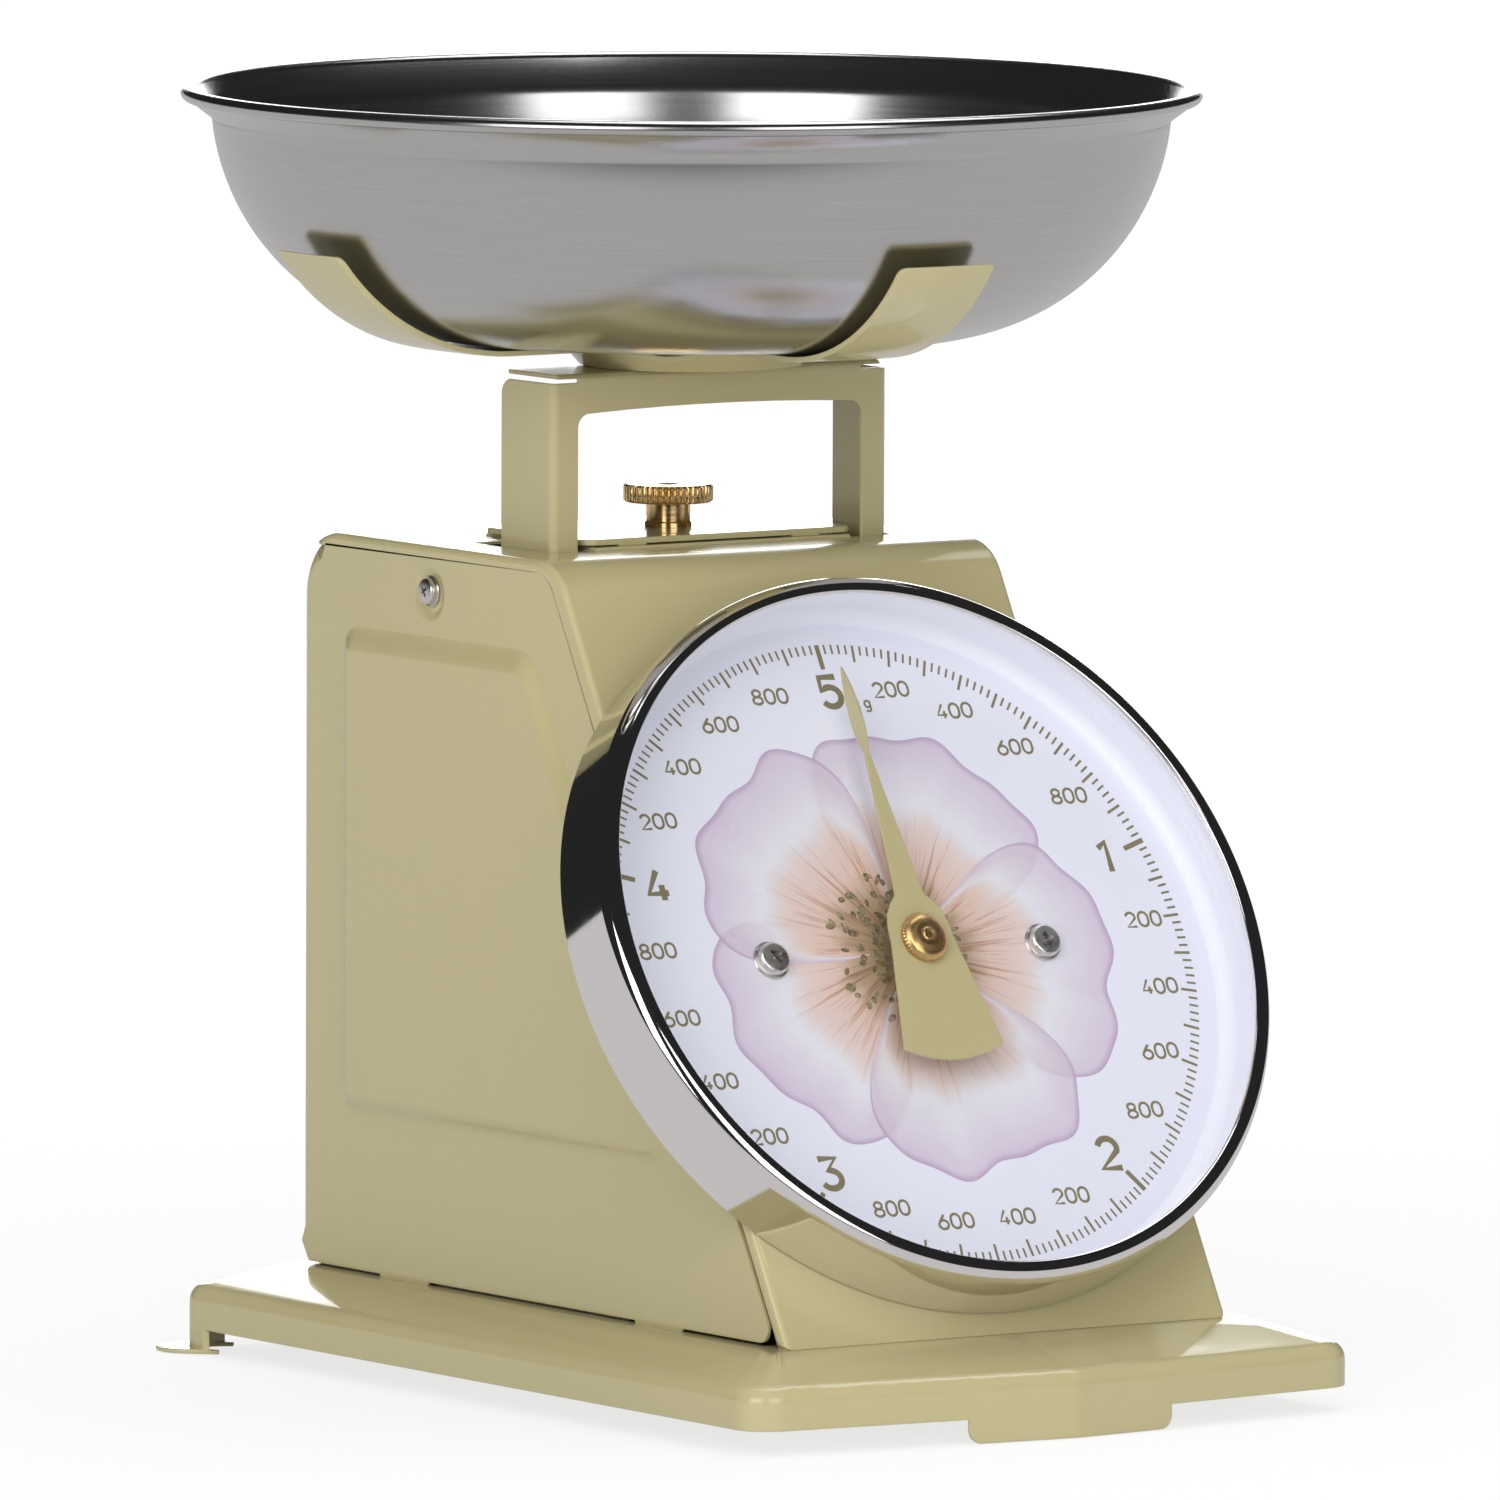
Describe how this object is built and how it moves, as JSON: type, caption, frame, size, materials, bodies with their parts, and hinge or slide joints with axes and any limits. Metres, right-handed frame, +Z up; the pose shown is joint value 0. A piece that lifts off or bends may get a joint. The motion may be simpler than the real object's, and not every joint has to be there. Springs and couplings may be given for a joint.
{
  "type": "kitchen scale",
  "caption": "Mechanical kitchen scale with a sloping round dial, a sheet metal housing on a wide base and a lift-off steel bowl on a sprung cradle.",
  "frame": {"origin": "centre of the bounding box's underside, on the surface that the scale stands on", "axes": "+Z up, -Y towards the reader in front of the dial, +X to the reader's right"},
  "size_m": [0.22, 0.259, 0.2774],
  "materials": {
    "sage_paint": "gloss",
    "bowl_steel": "brushed",
    "zinc_plate": "satin",
    "turned_steel": "polished",
    "spring_steel": "satin",
    "bezel_chrome": "polished",
    "chrome_screw": "polished",
    "brass": "polished",
    "black_rubber": "matte",
    "dark_plate": "satin",
    "dial_white": "satin",
    "lens_glass": "clear"
  },
  "bodies": {
    "housing": {"base_tray": "sage_paint", "inner_frame": "zinc_plate", "frame_screws": "zinc_plate", "stop_pads": "black_rubber", "lever_axles": "turned_steel", "front_panel": "sage_paint", "rear_cover": "sage_paint", "cover_screws": "chrome_screw", "adjuster_plate": "sage_paint", "dial_pan": "dial_white", "dial_plate": "dial_white", "dial_screws": "chrome_screw", "bezel_ring": "bezel_chrome", "lens": "lens_glass", "lens_ring": "dial_white", "front_bush": "brass", "rear_bush": "brass", "bearing_bridge": "zinc_plate", "rack_guide": "zinc_plate"},
    "platform": {"load_bracket": "sage_paint", "cradle": "sage_paint", "cradle_rivets": "turned_steel", "lever_pins": "turned_steel", "spring_bar": "zinc_plate", "drive_arm": "zinc_plate", "drive_pin": "turned_steel", "main_springs": "spring_steel"},
    "bowl": {"bowl": "bowl_steel"},
    "rack": {"rack_bar": "brass"},
    "pointer": {"pointer": "sage_paint", "pointer_cap": "brass", "pointer_shaft": "turned_steel", "pinion": "brass"},
    "upper_lever": {"upper_lever": "zinc_plate"},
    "lower_lever": {"lower_lever": "zinc_plate"},
    "knob": {"zero_knob": "brass", "knob_clip": "spring_steel"},
    "hanger": {"spring_hanger": "zinc_plate"}
  },
  "joints": [
    {"name": "platform_travel", "type": "slide", "parent": "housing", "child": "platform", "axis": [0, 0, -1], "range_m": [0, 0.01398], "stiffness_N_per_m": 3508, "springref_m": -0.0025, "deforming": ["main_springs"]},
    {"name": "bowl_lift", "type": "slide", "parent": "platform", "child": "bowl", "axis": [0, 0, 1], "range_m": [0, 0.08]},
    {"name": "rack_slide", "type": "slide", "parent": "housing", "child": "rack", "axis": [0, -0.4885, -0.8726], "range_m": [0, 0.01603]},
    {"name": "pointer_turn", "type": "hinge", "parent": "housing", "child": "pointer", "pos_m": [0, -0.0606, 0.0954], "axis": [0, 0.8726, -0.4885], "range_deg": [0, 361]},
    {"name": "upper_lever_tilt", "type": "hinge", "parent": "housing", "child": "upper_lever", "pos_m": [0, 0.07155, 0.143], "axis": [1, 0, 0], "range_deg": [0, 15.1]},
    {"name": "lower_lever_tilt", "type": "hinge", "parent": "housing", "child": "lower_lever", "pos_m": [0, 0.07155, 0.069], "axis": [1, 0, 0], "range_deg": [0, 15.1]},
    {"name": "hanger_slide", "type": "slide", "parent": "housing", "child": "hanger", "axis": [0, 0, 1], "range_m": [-0.0007, 0.0007]},
    {"name": "knob_turn", "type": "hinge", "parent": "housing", "child": "knob", "pos_m": [0, 0.02805, 0.185], "axis": [0, 0, 1], "range_deg": [-360, 360]}
  ],
  "couplings": [
    {"joint": "rack_slide", "follows": "platform_travel", "ratio": 1.146},
    {"joint": "pointer_turn", "follows": "platform_travel", "rad_per_m": 449.42},
    {"joint": "upper_lever_tilt", "follows": "platform_travel", "rad_per_m": 18.755},
    {"joint": "lower_lever_tilt", "follows": "platform_travel", "rad_per_m": 18.755},
    {"joint": "knob_turn", "follows": "hanger_slide", "rad_per_m": -8975.9}
  ]
}
